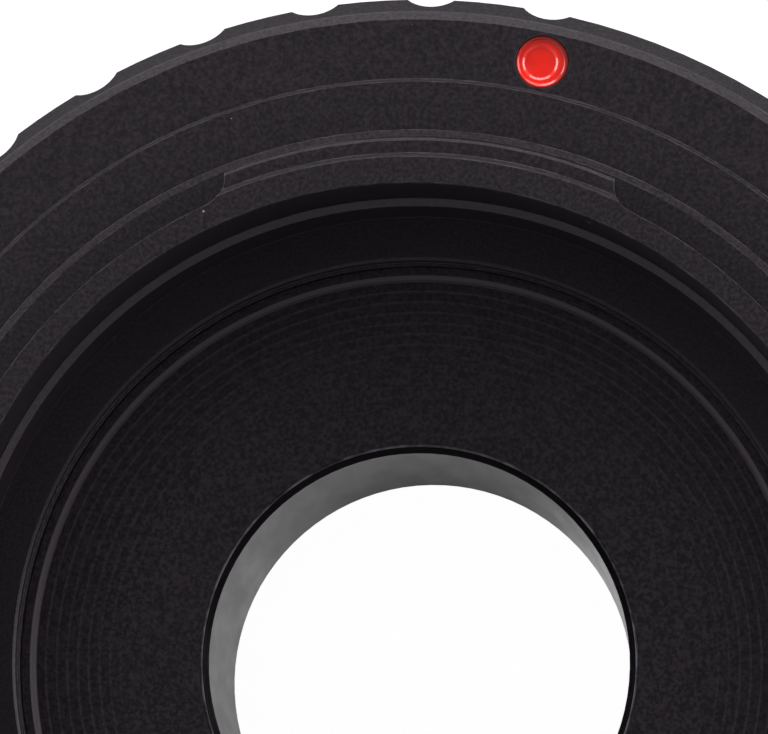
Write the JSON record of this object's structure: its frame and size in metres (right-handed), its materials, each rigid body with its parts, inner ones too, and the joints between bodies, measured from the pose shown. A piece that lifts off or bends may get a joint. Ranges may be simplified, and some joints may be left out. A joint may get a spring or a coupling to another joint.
{
  "type": "camera t-ring",
  "caption": "Black bayonet camera ring with scalloped grip and red index dot, holding a turning screw-thread insert and a push-in eyepiece tube with a clear bore.",
  "frame": {"origin": "centre of the tube's free end, which the part stands on", "axes": "+Z along the optical axis towards the camera body, +Y towards the middle of the lug nearest the dot"},
  "size_m": [0.0676, 0.0676, 0.0284],
  "materials": {
    "ring_black": "bead blasted, black anodised",
    "insert_black": "turned, black anodised",
    "tube_black": "turned, black anodised",
    "red_enamel": "gloss enamel",
    "screw_steel": "black oxide"
  },
  "bodies": {
    "ring": {"bayonet_ring": "ring_black", "index_dot": "red_enamel", "clamp_screw_1": "screw_steel", "clamp_screw_2": "screw_steel", "clamp_screw_3": "screw_steel"},
    "insert": {"thread_insert": "insert_black"},
    "tube": {"eyepiece_tube": "tube_black"}
  },
  "joints": [
    {"name": "insert_turn", "type": "hinge", "parent": "ring", "child": "insert", "pos_m": [0, 0, 0.0183], "axis": [0, 0, 1], "continuous": true},
    {"name": "tube_unscrew", "type": "hinge", "parent": "insert", "child": "tube", "pos_m": [0, 0, 0.01405], "axis": [0, 0, -1], "range_deg": [0, 1080]}
  ]
}
